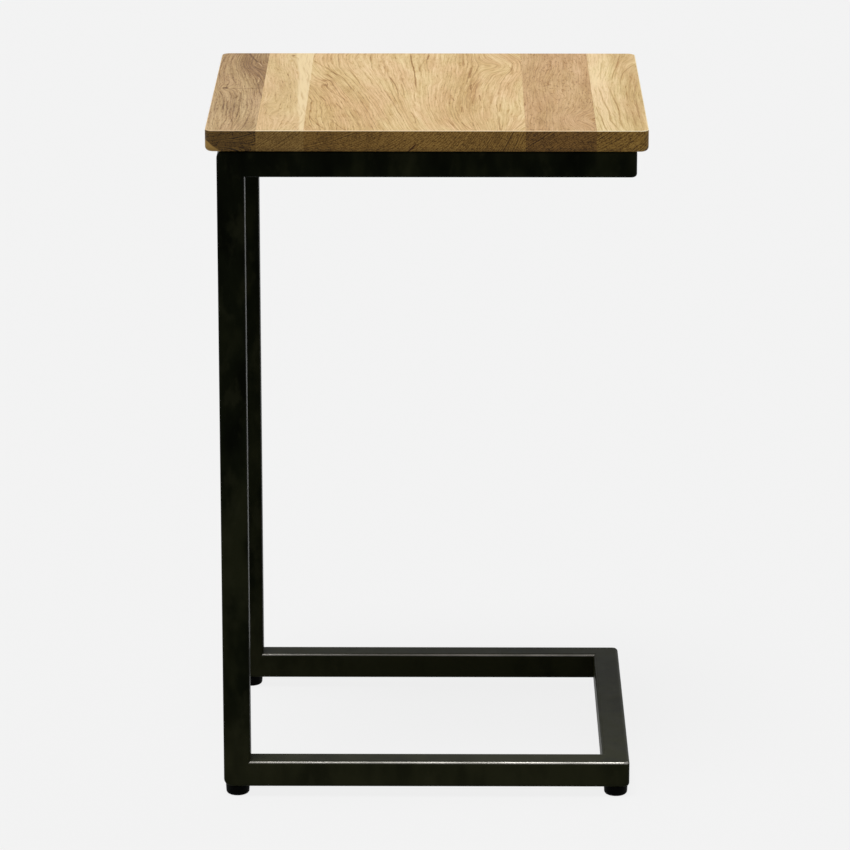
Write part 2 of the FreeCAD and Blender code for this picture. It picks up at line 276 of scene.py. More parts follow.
# The planks. left is a plank's left edge, in millimetres from the left edge of the top, and width its width.
# colours run from dark to pale, hue is how far they swing between rosy and golden, and arris_highlight is
# the pale colour of the rounded upper edge: paler sanded wood, made bright as a painted highlight.
# streaks, speckle and rings are how strongly the fibres, the rays and the growth rings show.
# end_light sets how bright the end grain is, in red, green and blue, end_lines how strongly its lines show,
# and end_tints where it is paler or darker.
# spacing is the width of a ring. The rings' lines bend along the plank by the flow: a row for each power
# of the distance across the plank, and in it a value for each power of the distance along it.
# slant is how far the rings lean with depth, how far that fans out across the plank, and how far it curls.
# swirls bend the lines aside, and tints make the wood paler or darker: each has a centre, a size and a
# height. knots are dark: each has a centre, a size and a depth.
OAK = {
    "left_edge_plank": dict(
        slot="oak_left_edge", arris_highlight=srgb(224, 195, 152), left=0.0, width=46.0,
        colours=[srgb(98, 62, 16), srgb(140, 106, 60), srgb(180, 148, 103), srgb(214, 186, 143)],
        end_light=(0.43, 0.4, 0.33), end_lines=1.9, end_tints=[end_tint(38, 14.0, -0.05)],
        spacing=4.2, rings=0.17, streaks=0.9, speckle=0.3, hue=0.6, seed=3.0,
        flow=[(13.0, 6.0, -6.0, 0.0), (-2.0, -4.0, 7.0, 14.0)], slant=(-4.6, 2.2, -0.08),
        veins=[
            vein(1.6, 0.3, (26, -2), (29, 15), (33, 33), (37, 49)),
            vein(1.4, 0.3, (34, 66), (40, 80), (46, 86)),
            vein(1.2, 0.2, (6, 178), (7, 185), (9, 200)),
            vein(1.1, 0.18, (25, 180), (26, 206), (24, 226)),
            vein(1.2, 0.23, (15.5, 220), (15.6, 244), (16.5, 264)),
            vein(1.0, 0.19, (12.5, 232), (12, 264)),
            vein(1.1, 0.21, (16, 262), (16.4, 288)),
            vein(1.0, 0.18, (16.5, 280), (17.5, 302), (15, 324), (14, 352)),
            vein(1.1, 0.18, (20, 244), (21, 292), (24, 322), (24, 352)),
            vein(1.0, 0.17, (26.6, 206), (27, 268), (25, 300)),
            vein(0.9, 0.16, (7.5, 250), (6.5, 284)),
            vein(1.0, 0.18, (38, 178), (39, 200)),
            # These two pale lines are painted highlights of light on the curly grain.
            vein(1.0, -0.3, (35.4, 43), (38.6, 54), (41, 66)),
            vein(0.9, -0.3, (39.4, 114), (40.4, 126), (39.2, 142)),
            vein(1.6, 0.2, (4, 165), (22, 168), (46, 163)),
            vein(1.0, 0.24, (12, 146), (10.5, 168)),
        ],
        swirls=[(plan(36, 50), (16.0, 44.0), 13.0), (plan(11, 164), (7.0, 14.0), 7.0)],
        knots=[(plan(10.5, 164), (3.0, 3.6), 0.4)],
        tints=[
            (plan(25, 46), (25.0, 80.0), -0.31),
            (plan(43, 120), (8.0, 60.0), -0.2),
            (plan(20, 172), (24.0, 46.0), -0.07),
            (plan(41, 322), (11.0, 36.0), -0.2),
        ],
    ),
    "inner_left_plank": dict(
        slot="oak_inner_left", arris_highlight=srgb(255, 234, 192), left=46.0, width=43.0,
        colours=[srgb(142, 102, 48), srgb(194, 158, 105), srgb(214, 183, 132), srgb(232, 206, 160)],
        end_light=(0.92, 0.97, 1.09), end_lines=0.7,
        end_tints=[end_tint(49, 8.0, -0.07), end_tint(87, 8.0, 0.06)],
        spacing=3.0, rings=0.12, streaks=0.9, speckle=0.3, hue=0.7, seed=11.0,
        flow=[(9.0, 9.0, -4.0, -4.0), (8.0, -10.0, -8.0, 9.0)], slant=(-1.2, 0.2, 0.0),
        veins=[
            vein(1.0, 0.16, (66, 20), (69, 32), (73, 56), (75, 84)),
            vein(1.0, 0.16, (67.5, 86), (67.5, 110)),
            vein(0.9, 0.14, (72, 306), (78, 324), (83, 342)),
            vein(0.9, 0.12, (58, 180), (60, 230)),
        ],
        swirls=[
            (plan(69.5, 13), (5.0, 11.0), 6.0),
            (plan(52, 242), (6.0, 14.0), 7.0),
            (plan(59, 285), (7.0, 24.0), 4.0),
        ],
        knots=[(plan(69.5, 13), (1.5, 3.2), 0.5)],
        tints=[(plan(50, 240), (4.0, 10.0), -0.14)],
    ),
    "centre_plank": dict(
        slot="oak_centre", arris_highlight=srgb(250, 224, 180), left=89.0, width=200.0,
        colours=[srgb(143, 99, 36), srgb(188, 149, 92), srgb(214, 181, 128), srgb(235, 209, 162)],
        end_light=(0.87, 0.85, 0.77), end_lines=0.95,
        end_tints=[end_tint(152, 26.0, -0.11), end_tint(272, 30.0, 0.07)],
        spacing=3.7, rings=0.21, streaks=0.98, speckle=0.19, hue=0.8, seed=23.0,
        flow=[
            (10.0, -5.0, 3.0, -5.0),
            (-54.0, 3.0, 30.0, -10.0),
            (-1.0, 6.0, -6.0, 14.0),
            (33.0, -35.0, -23.0, 45.0),
        ],
        slant=(-1.5, 0.9, 0.0),
        veins=[
            vein(1.0, 0.42, (182.5, -4), (183.6, 36), (186.7, 84), (187.4, 110), (189.4, 168)),
            vein(1.0, 0.26, (187.4, 190), (188.8, 228)),
            vein(1.0, 0.3, (184, 268), (188.4, 292), (190, 322)),
            vein(1.0, 0.34, (162.6, 108), (167.5, 137), (171, 164), (173, 206)),
            vein(1.0, 0.3, (174.6, 142), (177, 170), (178.4, 200)),
            vein(1.0, 0.2, (156, 58), (159, 84), (159, 112)),
            vein(1.1, 0.4, (200.6, 8), (199, 32)),
            vein(1.0, 0.16, (199, 26), (194, 52), (191, 92)),
            vein(1.3, 0.2, (89, 34), (97, 58), (105, 78)),
            vein(1.5, 0.36, (103, 66), (107, 84), (113.5, 104)),
            vein(1.3, 0.26, (110, 92), (118.5, 114), (122, 130), (129.5, 176)),
            vein(1.2, 0.2, (124, 76), (132, 118), (137, 150)),
            vein(1.3, 0.32, (103, 98), (106, 108), (109.6, 121)),
            vein(2.6, 0.2, (105.6, 126), (109.4, 138), (110.4, 156)),
            vein(2.0, 0.2, (103, 144), (105.6, 160), (109, 173), (112.6, 187)),
            vein(1.4, 0.1, (96, 128), (94.6, 140), (97, 158), (104, 180)),
            vein(1.2, 0.22, (99, 198), (107, 226)),
            vein(1.2, 0.24, (115, 230), (123, 264)),
            vein(1.2, 0.16, (108, 178), (120, 206), (128, 236)),
            vein(1.2, 0.2, (92, 286), (99, 318), (109, 346)),
            vein(1.2, 0.2, (112, 300), (120, 330), (128, 352)),
            vein(1.8, 0.16, (233, -4), (234, 66)),
            vein(2.2, 0.2, (242, 66), (240, 94), (239, 122)),
            vein(1.1, 0.3, (240.6, 148), (240, 172)),
            vein(1.1, 0.34, (248, 194), (249, 222)),
            vein(1.0, 0.28, (222, 206), (225, 222)),
            vein(1.0, 0.28, (232, 248), (231.4, 274)),
            vein(1.1, 0.28, (267.4, 232), (266, 272)),
            vein(1.1, 0.32, (265.6, 284), (265.4, 314), (266.6, 352)),
            vein(1.1, 0.22, (218, 300), (222, 320), (229, 352)),
            vein(1.1, 0.24, (231, 312), (235, 330), (243, 352)),
            vein(1.0, 0.26, (241.4, 314), (242.2, 332)),
            vein(2.4, 0.2, (277.6, 66), (280, 84), (278, 104)),
            vein(3.0, 0.13, (279, 77), (269, 86), (257, 97)),
            vein(2.4, -0.14, (257, 8), (264, 29), (272.6, 54)),
        ],
        swirls=[(plan(103, 141), (7.0, 14.0), -5.0), (plan(266, 62), (15.0, 28.0), -13.0)],
        knots=[],
        tints=[
            (plan(237, 60), (9.0, 80.0), -0.16),
            (plan(230, 250), (19.0, 110.0), -0.18),
            (plan(104, 138), (9.0, 26.0), -0.06),
            (plan(102.8, 130), (2.8, 5.0), -0.46),
            (plan(103, 151), (2.4, 4.8), -0.34),
            (plan(113, 272), (30.0, 72.0), -0.17),
            (plan(91, 305), (6.0, 55.0), -0.16),
            (plan(126, 344), (36.0, 22.0), -0.11),
            (plan(212, 346), (14.0, 14.0), 0.1),
            (plan(123, 148), (9.0, 26.0), 0.17),
            (plan(110, 60), (11.0, 30.0), 0.16),
            (plan(211, 12), (12.0, 18.0), 0.16),
            (plan(182, 90), (36.0, 110.0), 0.08),
            (plan(252, 130), (2.6, 70.0), 0.2),
            (plan(274, 260), (10.0, 120.0), 0.08),
        ],
    ),
    "inner_right_plank": dict(
        slot="oak_inner_right", arris_highlight=srgb(244, 214, 168), left=289.0, width=64.0,
        colours=[srgb(135, 92, 40), srgb(168, 128, 75), srgb(193, 155, 105), srgb(217, 183, 138)],
        end_light=(0.6, 0.53, 0.47), end_lines=1.4, end_tints=[end_tint(292, 10.0, -0.05)],
        spacing=3.4, rings=0.14, streaks=0.9, speckle=0.44, hue=0.5, seed=37.0,
        flow=[(-6.0, 1.0, 1.5, 0.0)], slant=(-1.9, -0.4, 0.0),
        veins=[
            vein(0.9, 0.14, (300, 150), (301, 215)),
            vein(0.9, 0.12, (318, 60), (318, 160)),
        ],
        swirls=[(plan(338, 300), (18.0, 34.0), 14.0), (plan(310, 150), (12.0, 60.0), 8.0)],
        knots=[],
        tints=[
            (plan(344, 300), (10.0, 24.0), 0.08),
            (plan(294, 180), (6.0, 150.0), -0.08),
            (plan(320, 50), (36.0, 56.0), 0.06),
        ],
    ),
    "right_edge_plank": dict(
        slot="oak_right_edge", arris_highlight=srgb(255, 238, 196), left=353.0, width=47.0,
        colours=[srgb(158, 114, 47), srgb(194, 160, 103), srgb(216, 187, 134), srgb(239, 214, 167)],
        end_light=(0.87, 0.86, 0.73), end_lines=1.0, end_tints=[end_tint(396, 12.0, -0.08)],
        spacing=4.8, rings=0.15, streaks=0.92, speckle=0.18, hue=0.7, seed=51.0,
        flow=[(-4.0, -19.0, 1.5, 9.5), (-4.0, -4.0, -1.0, 2.0)], slant=(-1.3, 0.5, 0.0),
        veins=[
            vein(1.2, 0.31, (360, 150), (363, 225), (366.6, 273), (366.4, 302), (369, 320), (374, 354)),
            vein(1.1, 0.31, (355.4, 240), (356.8, 276), (359.2, 296), (359.4, 314), (363, 354)),
            vein(1.2, 0.3, (370, 160), (373, 216), (375.6, 262), (375.6, 308), (379, 348)),
            vein(1.2, 0.26, (373, 130), (376, 98), (380, 64), (385, 10)),
            vein(1.1, 0.2, (363, 130), (364, 96), (368, 40)),
            vein(1.2, 0.24, (381, 150), (383, 112), (390, 76), (399, 52)),
            vein(1.1, 0.16, (381.6, 250), (382.4, 300)),
            vein(1.1, 0.16, (387.4, 262), (389, 334)),
            vein(1.1, 0.16, (393, 212), (393.6, 300)),
            vein(1.0, 0.14, (386, 150), (385, 220)),
        ],
        swirls=[(plan(390, 60), (9.0, 40.0), 5.0)],
        knots=[],
        tints=[
            (plan(390, 200), (12.0, 240.0), -0.24),
            (plan(392, 50), (12.0, 40.0), -0.08),
            (plan(361, 160), (10.0, 260.0), 0.21),
        ],
    ),
}

# Noises: waves per millimetre along x, y and z, offset, detail and roughness. In the oak, those of
# STILL_NOISES lie still in the plank, and those of GRAIN_NOISES bend with its rings.
STILL_NOISES = {
    "slow": ((0.02, 0.008, 0.02), 0.0, 2.0, 0.5),
    "quick": ((0.1, 0.02, 0.1), 5.0, 2.0, 0.5),
    "wiggle": ((0.06, 0.05, 0.06), 7.0, 2.0, 0.5),
    "patch": ((0.02, 0.011, 0.02), 25.0, 3.0, 0.5),
    "dots": ((0.8, 0.3, 0.8), 33.0, 2.0, 0.5),
}
GRAIN_NOISES = {
    "drift": ((0.07, 0.002, 0.0), 9.0, 2.0, 0.5),
    "streaks": ((0.4, 0.022, 0.4), 11.0, 2.0, 0.6),
    "fibre": ((0.8, 0.02, 0.8), 13.0, 3.0, 0.65),
    "dash": ((0.75, 0.05, 0.75), 17.0, 3.0, 0.65),
    "rays": ((0.7, 0.12, 0.7), 19.0, 2.0, 0.7),
    "broad": ((0.06, 0.004, 0.06), 21.0, 2.0, 0.5),
    "hue": ((0.05, 0.008, 0.05), 27.0, 2.0, 0.5),
}

# How far noise moves the rings' lines, the veins and the edges of the sapwood, in millimetres.
SLOW_WANDER = 8.0
QUICK_WANDER = 2.6
WIGGLE_WANDER = 2.0
VEIN_WANDER = 0.8
SAPWOOD_WANDER = 2.0
# How many rings it moves them by, how strong the faintest ring is, and how many fine lines a ring has.
RING_DRIFT = 4.0
FAINTEST_RING = 0.35
FINE_LINES = 2.6

# Where a feature of the wood starts and where it is full: in parts of a ring or a fine line, in noise,
# in millimetres, or in the direction of the surface.
EARLY_WOOD = (0.34, 0.03)
NEXT_EARLY_WOOD = (0.95, 1.0)
FINE_LINE_END = (0.5, 0.1)
FINE_LINE_START = (0.0, 0.1)
PORES = (0.54, 0.68)
OPEN_PORES = (0.4, 0.6)
RAYS = (0.54, 0.7)
DOTS = (0.48, 0.66)
HUES = (0.35, 0.65)
KNOT = (0.12, 0.75)
SAPWOOD_BLUR = (-1.4, 1.4)
CORNER_SAPWOOD_BLUR = (-0.4, 0.8)
END_FACE = (0.12, 0.35)
# The painted highlight on the rounded upper edge: how rounded and how upward the surface is there.
ARRIS_ROUND = (0.998, 0.9)
ARRIS_UPWARD = (0.12, 0.4)

# What the parts of the wood add to a tone, which picks the colour by the stops.
FACE_TONE = 0.69
FACE_WEIGHTS = {"broad": 0.5, "patch": 0.35}
LINE_WEIGHTS = {"streaks": 0.55, "fibre": 0.75, "pores": -0.16, "fine": -0.1}
RING_WEIGHTS = {"early": 1.0, "open_pores": 0.8}
FACE_STOPS = (0.0, 0.36, 0.62, 0.95)
VEIN_SOLID = 0.95
VEIN_DASHES = 0.7
END_TONE = 0.6
END_WEIGHTS = {"patch": 0.6}
END_LINE_TONE = 0.24
END_LINE_WEIGHTS = {"fibre": 1.2, "early": -0.5, "fine": -0.3, "dots": -0.3}
END_STOPS = (0.0, 0.4, 0.66, 0.95)
END_GRAIN = [srgb(48, 30, 6), srgb(100, 71, 28), srgb(143, 107, 49), srgb(182, 144, 77)]
ROSY = (1.03, 0.985, 1.0, 1.0)
GOLDEN = (0.985, 1.01, 0.93, 1.0)

# The pale strip of the inner left plank lies to the right of this line, and a pale corner lies under a slope
# at the lower left of the top.
SAPWOOD = srgb(237, 213, 165)
SAPWOOD_EDGE = [plan(71.8, 2), plan(72.6, 26), plan(74.8, 50), plan(77.6, 110), plan(79.2, 170)]
SAPWOOD_EDGE += [plan(79.9, 240), plan(83.2, 290), plan(85, 350)]
SAPWOOD_TONE = 0.5
SAPWOOD_STOPS = (0.2, 0.5)
SAPWOOD_COVER = 0.9
CORNER_SAPWOOD_DEPTH = 8.6
CORNER_SAPWOOD_SLOPE = 0.74
CORNER_SAPWOOD_COVER = 0.85

# A crack in the front end of the centre plank, as x and depth in millimetres.
END_CRACK = ((-18.2, -21.2), (-9.4, -12.2))
END_CRACK_HALF_WIDTH = 1.5
END_CRACK_COLOUR = srgb(58, 24, 0)

OAK_ROUGHNESS = 0.56
OAK_ROUGHNESS_WEIGHTS = {"pores": 0.14, "early": -0.05, "patch": 0.12}
OAK_SPECULAR = 0.2
OAK_RELIEF_WEIGHTS = {"pores": -0.4, "open_pores": -0.5, "dark": -0.7, "fibre": 0.25}
OAK_RELIEF_HEIGHT = 0.00025
OAK_RELIEF_STRENGTH = 0.5


def flow_bend(wood, flow, across):
    """How far the rings' lines are moved sideways, as a polynomial across and along the plank."""
    along = wood.y / HALF_DEPTH
    total = 0.0
    for row in reversed(flow):
        value = 0.0
        for factor in reversed(row):
            value = along * (value + factor)
        total = total * across + value
    return total


def dark_marks(wood, look, wiggle):
    """How dark the veins and knots of a plank are."""
    dark = 0.0
    for half_width, depth, points in look["veins"]:
        run = [abs(end - start) for start, end in zip(points[0], points[-1])]
        if run[0] > run[1]:
            turned = [(along, side) for side, along in points]
            mark = wood.line(turned, half_width, wood.y + wiggle * VEIN_WANDER, wood.x)
        else:
            mark = wood.line(points, half_width, wood.x + wiggle * VEIN_WANDER, wood.y)
        dark = dark + mark * depth
    for centre, size, depth in look["knots"]:
        dark = dark + wood.ease(wood.spot(centre, size), *KNOT) * depth
    return dark


def end_colours(look):
    """The colours of a plank's end grain, from dark to pale."""
    for colour in END_GRAIN:
        red, green, blue = (channel * light for channel, light in zip(colour, look["end_light"]))
        yield (red, green, blue, 1.0)


def oak(name, look):
    """Oak for one plank: growth rings through the whole of it, pores, rays, veins and end grain."""
    wood = Graph(look["slot"])
    x, y = wood.x, wood.y
    deep = wood.z - TOP_Z
    seed = look["seed"]
    half = look["width"] / 2
    across = (x - (look["left"] + half - HALF_WIDTH)) / half
    still = wood.noises(STILL_NOISES, seed)
    quick = still["quick"] - 0.5
    wiggle = still["wiggle"] - 0.5

    lean, fan, curl = look["slant"]
    rings = x + flow_bend(wood, look["flow"], across) + (still["slow"] - 0.5) * SLOW_WANDER
    rings = rings + quick * QUICK_WANDER + wiggle * WIGGLE_WANDER
    rings = rings + deep * (across * fan + lean) + deep * deep * curl
    rings = rings + wood.spots(look["swirls"])
    bent = wood.noises(GRAIN_NOISES, seed, wood.join(rings, y, deep))

    turn = rings / look["spacing"] + bent["drift"] * RING_DRIFT
    ring = wood.math("FRACT", turn)
    strength = wood.chance(wood.math("FLOOR", turn) + seed) * (1.0 - FAINTEST_RING) + FAINTEST_RING
    early = (wood.ease(ring, *EARLY_WOOD) + wood.ease(ring, *NEXT_EARLY_WOOD)) * strength
    fine = wood.math("FRACT", turn * FINE_LINES)
    dash = bent["dash"]
    parts = {
        "early": early,
        "fine": wood.ease(fine, *FINE_LINE_END) * wood.ease(fine, *FINE_LINE_START),
        "streaks": bent["streaks"] - 0.5,
        "fibre": bent["fibre"] - 0.5,
        "broad": bent["broad"] - 0.5,
        "patch": still["patch"] - 0.5,
        "pores": wood.ease(dash, *PORES),
        "open_pores": wood.ease(dash, *OPEN_PORES) * early,
        "dots": wood.ease(still["dots"], *DOTS),
        "dark": dark_marks(wood, look, wiggle) * (dash * VEIN_DASHES + VEIN_SOLID),
    }

    tone = FACE_TONE + weigh(parts, FACE_WEIGHTS) + weigh(parts, LINE_WEIGHTS) * look["streaks"]
    tone = tone - wood.ease(bent["rays"], *RAYS) * look["speckle"]
    tone = tone - weigh(parts, RING_WEIGHTS) * look["rings"] - parts["dark"] + wood.spots(look["tints"])
    face = wood.ramp(tone, FACE_STOPS, look["colours"])
    hue = wood.blend(wood.ease(bent["hue"], *HUES), ROSY, GOLDEN)
    face = wood.blend(look["hue"], face, wood.blend(1.0, face, hue, "MULTIPLY"))
    if name == "inner_left_plank":
        past_edge = wood.aside(SAPWOOD_EDGE, x, y)[0]
        strip = wood.ease(past_edge + quick * SAPWOOD_WANDER, *SAPWOOD_BLUR)
        pale_tone = parts["fibre"] + parts["streaks"] + SAPWOOD_TONE
        pale = wood.ramp(pale_tone, SAPWOOD_STOPS, (look["colours"][2], SAPWOOD))
        face = wood.blend(strip * SAPWOOD_COVER, face, pale)

    end_lines = END_LINE_TONE + weigh(parts, END_LINE_WEIGHTS)
    end_tone = END_TONE + weigh(parts, END_WEIGHTS) + end_lines * look["end_lines"]
    end_tone = end_tone + wood.spots(look["end_tints"])
    end_face = wood.ramp(end_tone, END_STOPS, end_colours(look))
    if name == "centre_plank":
        crack = wood.line(END_CRACK, END_CRACK_HALF_WIDTH, x, deep)
        end_face = wood.blend(crack, end_face, END_CRACK_COLOUR)
    is_end = wood.ease(abs(wood.normal[1]), *END_FACE)
    colour = wood.blend(is_end, face, end_face)
    if name == "left_edge_plank":
        below = deep * -1.0 - CORNER_SAPWOOD_DEPTH - (x + HALF_WIDTH) * CORNER_SAPWOOD_SLOPE
        wedge = wood.ease(below + quick * SAPWOOD_WANDER, *CORNER_SAPWOOD_BLUR)
        pale = wood.blend(is_end, SAPWOOD, END_GRAIN[-1])
        colour = wood.blend(wedge * CORNER_SAPWOOD_COVER, colour, pale)
    # Painted highlight: the rounded upper edge takes a colour paler than the wood, so that it shows as a
    # bright lit line.
    arris_highlight = wood.corner(*ARRIS_ROUND) * wood.ease(wood.normal[2], *ARRIS_UPWARD)
    colour = wood.blend(arris_highlight, colour, look["arris_highlight"])

    wood.set(
        Base_Color=colour,
        Roughness=OAK_ROUGHNESS + weigh(parts, OAK_ROUGHNESS_WEIGHTS),
        Specular_IOR_Level=OAK_SPECULAR,
    )
    wood.bump(weigh(parts, OAK_RELIEF_WEIGHTS), OAK_RELIEF_HEIGHT, OAK_RELIEF_STRENGTH)
    return wood.material


# Black paint. Where a feature starts and where it is full, and then its strength at both: in noise, in
# millimetres, or in the direction of the surface.
PAINT_NOISES = {
    "cloud": ((0.02, 0.02, 0.011), 2.0, 3.0, 0.6),
    "drift": ((0.05, 0.05, 0.02), 7.0, 2.0, 0.5),
    "smudge": ((0.05, 0.05, 0.026), 21.0, 3.0, 0.65),
    "peel": ((0.42, 0.42, 0.42), 4.0, 2.0, 0.5),
    "dust": ((0.9, 0.9, 0.9), 12.0, 2.0, 0.5),
    "highlight_patches": ((0.02, 0.02, 0.02), 15.0, 3.0, 0.5),
}
PAINT_SMUDGES = (0.5, 0.68)
PAINT_DUST = (0.66, 0.8)
# Painted shade: the paint is darker towards the top, where the board shades the top rail, and paler lower
# down.
PAINTED_SHADE_TOWARDS_THE_TOP = (560.0, 160.0, -0.04, 0.06)
PALER_TO_THE_RIGHT = (-170.0, -40.0, -0.02, 0.05)
# Near the floor the paint takes a greyish film: dust, and painted light bounced up from the floor.
DUST_AND_BOUNCE_NEAR_FLOOR = (110.0, 30.0)
PAINT_EDGE = (0.985, 0.8)
# The painted highlight: pale, partly metallic bands along the upper edges of the long rails, in place of the
# gleam of light on them.
HIGHLIGHT_UPWARD = (0.1, 0.6)
HIGHLIGHT_ON_LONG_RAILS = (0.1, 0.5)
HIGHLIGHT_IN_PLACES = (0.35, 0.6, 0.7, 1.0)
HIGHLIGHT_TO_THE_RIGHT = (-HALF_WIDTH, HALF_WIDTH, 0.6, 1.0)
HIGHLIGHT_BELOW_THE_TOP = (590.0, 560.0)
PAINT_TONE_WEIGHTS = {"cloud": 0.7, "drift": 0.3}
PAINT_STOPS = (0.38, 0.5, 0.62)
PAINT_COLOURS = (srgb(5, 7, 2), srgb(15, 18, 8), srgb(31, 33, 19))
SMUDGE_COLOUR = srgb(40, 41, 27)
SMUDGE_COVER = 0.4
DUST_COLOUR = srgb(90, 90, 78)
DUST_COVER = 0.12
FLOOR_DUST_AND_BOUNCE_COLOUR = srgb(46, 46, 30)
FLOOR_DUST_AND_BOUNCE_COVER = 0.1
FLOOR_DUST_AND_BOUNCE_CLOUDS = 0.6
# The painted highlight's pale colour, how much of the edge it covers, and how metallic it is.
PAINTED_HIGHLIGHT_COLOUR = srgb(176, 173, 167)
PAINTED_HIGHLIGHT_COVER = 0.95
PAINTED_HIGHLIGHT_METALLIC = 0.55
PAINT_ROUGHNESS = 0.25
PAINT_ROUGHNESS_WEIGHTS = {"drift": 0.16, "peel": 0.1, "dust": 0.1, "edge": -0.04}
PAINT_SPECULAR = 0.016
PAINT_SPECULAR_TINT = (1.0, 0.99, 0.86, 1.0)
PAINT_RELIEF_WEIGHTS = {"peel": 1.0, "dust": 0.3}
PAINT_RELIEF_HEIGHT = 0.00012
PAINT_RELIEF_STRENGTH = 0.35


def black_paint():
    """Thin black satin paint on steel tube: cloudy and finely grained, with painted shade towards the top,
    dust and painted floor light low down, and a painted highlight along the long rails.
    """
    coat = Graph("black_paint")
    parts = coat.noises(PAINT_NOISES)
    smudge = coat.ease(parts["smudge"], *PAINT_SMUDGES)
    parts["dust"] = coat.ease(parts["dust"], *PAINT_DUST)
    parts["edge"] = coat.corner(*PAINT_EDGE)
    tone = weigh(parts, PAINT_TONE_WEIGHTS)
    # Painted shade: darker towards the top, where the board shades the top rail, and paler lower down. It is
    # also paler to the right.
    tone = tone + coat.ease(coat.z, *PAINTED_SHADE_TOWARDS_THE_TOP) + coat.ease(coat.x, *PALER_TO_THE_RIGHT)
    base = coat.ramp(tone, PAINT_STOPS, PAINT_COLOURS)
    base = coat.blend(smudge * SMUDGE_COVER, base, SMUDGE_COLOUR)
    base = coat.blend(parts["dust"] * DUST_COVER, base, DUST_COLOUR)
    # Dust and painted light bounced up from the floor: a greyish film on the paint near the floor.
    floor_dust_and_bounce = parts["cloud"] * FLOOR_DUST_AND_BOUNCE_CLOUDS + FLOOR_DUST_AND_BOUNCE_COVER
    base = coat.blend(coat.ease(coat.z, *DUST_AND_BOUNCE_NEAR_FLOOR) * floor_dust_and_bounce, base, FLOOR_DUST_AND_BOUNCE_COLOUR)

    # Painted highlight: the upward edges of the long rails are pale and partly metallic, in patches,
    # brighter to the right, and left out under the top where the board shades them.
    upward = coat.ease(coat.normal[2], *HIGHLIGHT_UPWARD)
    on_long_rail = coat.ease(abs(coat.normal[1]), *HIGHLIGHT_ON_LONG_RAILS)
    in_places = coat.ease(parts["highlight_patches"], *HIGHLIGHT_IN_PLACES)
    to_the_right = coat.ease(coat.x, *HIGHLIGHT_TO_THE_RIGHT)
    below_the_top = coat.ease(coat.z, *HIGHLIGHT_BELOW_THE_TOP)
    painted_highlight = parts["edge"] * upward * on_long_rail * in_places * to_the_right * below_the_top
    base = coat.blend(painted_highlight * PAINTED_HIGHLIGHT_COVER, base, PAINTED_HIGHLIGHT_COLOUR)
    coat.set(
        Base_Color=base,
        Metallic=painted_highlight * PAINTED_HIGHLIGHT_METALLIC,
        Roughness=PAINT_ROUGHNESS + weigh(parts, PAINT_ROUGHNESS_WEIGHTS),
        Specular_IOR_Level=PAINT_SPECULAR,
        Specular_Tint=PAINT_SPECULAR_TINT,
    )
    coat.bump(weigh(parts, PAINT_RELIEF_WEIGHTS), PAINT_RELIEF_HEIGHT, PAINT_RELIEF_STRENGTH)
    return coat.material


ZINC_NOISES = {
    "spangle": ((0.6, 0.6, 0.6), 3.0, 3.0, 0.5),
    "scratch": ((0.5, 0.5, 7.0), 8.0, 2.0, 0.5),
}
ZINC_TONE_WEIGHTS = {"spangle": 0.6, "scratch": 0.4}
ZINC_STOPS = (0.3, 0.52, 0.75)
ZINC_COLOURS = (srgb(150, 150, 146), srgb(184, 184, 178), srgb(206, 203, 188))
ZINC_ROUGHNESS = 0.175
ZINC_ROUGHNESS_WEIGHTS = {"spangle": 0.25}
ZINC_RELIEF_HEIGHT = 0.00006
ZINC_RELIEF_STRENGTH = 0.4


def zinc_steel():
    """Zinc-plated steel: spangled grey with a faint yellow cast and fine turned scratches."""
    metal = Graph("zinc_steel")
    parts = metal.noises(ZINC_NOISES)
    metal.set(
        Base_Color=metal.ramp(weigh(parts, ZINC_TONE_WEIGHTS), ZINC_STOPS, ZINC_COLOURS),
        Metallic=1.0,
        Roughness=ZINC_ROUGHNESS + weigh(parts, ZINC_ROUGHNESS_WEIGHTS),
    )
    metal.bump(parts["scratch"], ZINC_RELIEF_HEIGHT, ZINC_RELIEF_STRENGTH)
    return metal.material


PLASTIC_NOISES = {
    "grain": ((2.2, 2.2, 2.2), 5.0, 2.0, 0.5),
    "cloud": ((0.15, 0.15, 0.15), 9.0, 2.0, 0.5),
    "scuff": ((0.5, 0.5, 0.5), 11.0, 3.0, 0.5),
}
PLASTIC_STOPS = (0.3, 0.7)
PLASTIC_COLOURS = (srgb(3, 3, 2), srgb(8, 8, 6))
SCUFFED_NEAR_FLOOR = (2.2, 0.2)
SCUFFED_IN_PLACES = (0.45, 0.65)
SCUFF_COLOUR = srgb(60, 58, 52)
SCUFF_COVER = 0.2
SCUFF_ROUGHNESS = 0.25
PLASTIC_ROUGHNESS = 0.5
PLASTIC_SPECULAR = 0.02
PLASTIC_RELIEF_HEIGHT = 0.00008
PLASTIC_RELIEF_STRENGTH = 0.4


def black_plastic():
    """Moulded black plastic: finely textured, scuffed grey where it meets the floor."""
    plastic = Graph("black_plastic")
    parts = plastic.noises(PLASTIC_NOISES)
    scuff = plastic.ease(plastic.z, *SCUFFED_NEAR_FLOOR) * plastic.ease(parts["scuff"], *SCUFFED_IN_PLACES)
    base = plastic.ramp(parts["cloud"], PLASTIC_STOPS, PLASTIC_COLOURS)
    plastic.set(
        Base_Color=plastic.blend(scuff * SCUFF_COVER, base, SCUFF_COLOUR),
        Roughness=PLASTIC_ROUGHNESS + scuff * SCUFF_ROUGHNESS,
        Specular_IOR_Level=PLASTIC_SPECULAR,
    )
    plastic.bump(parts["grain"], PLASTIC_RELIEF_HEIGHT, PLASTIC_RELIEF_STRENGTH)
    return plastic.material


def assign(material, nodes):
    """Gives CAD nodes their one material."""
    for name in nodes:
        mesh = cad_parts[name].data
        mesh.materials.clear()
        mesh.materials.append(material)


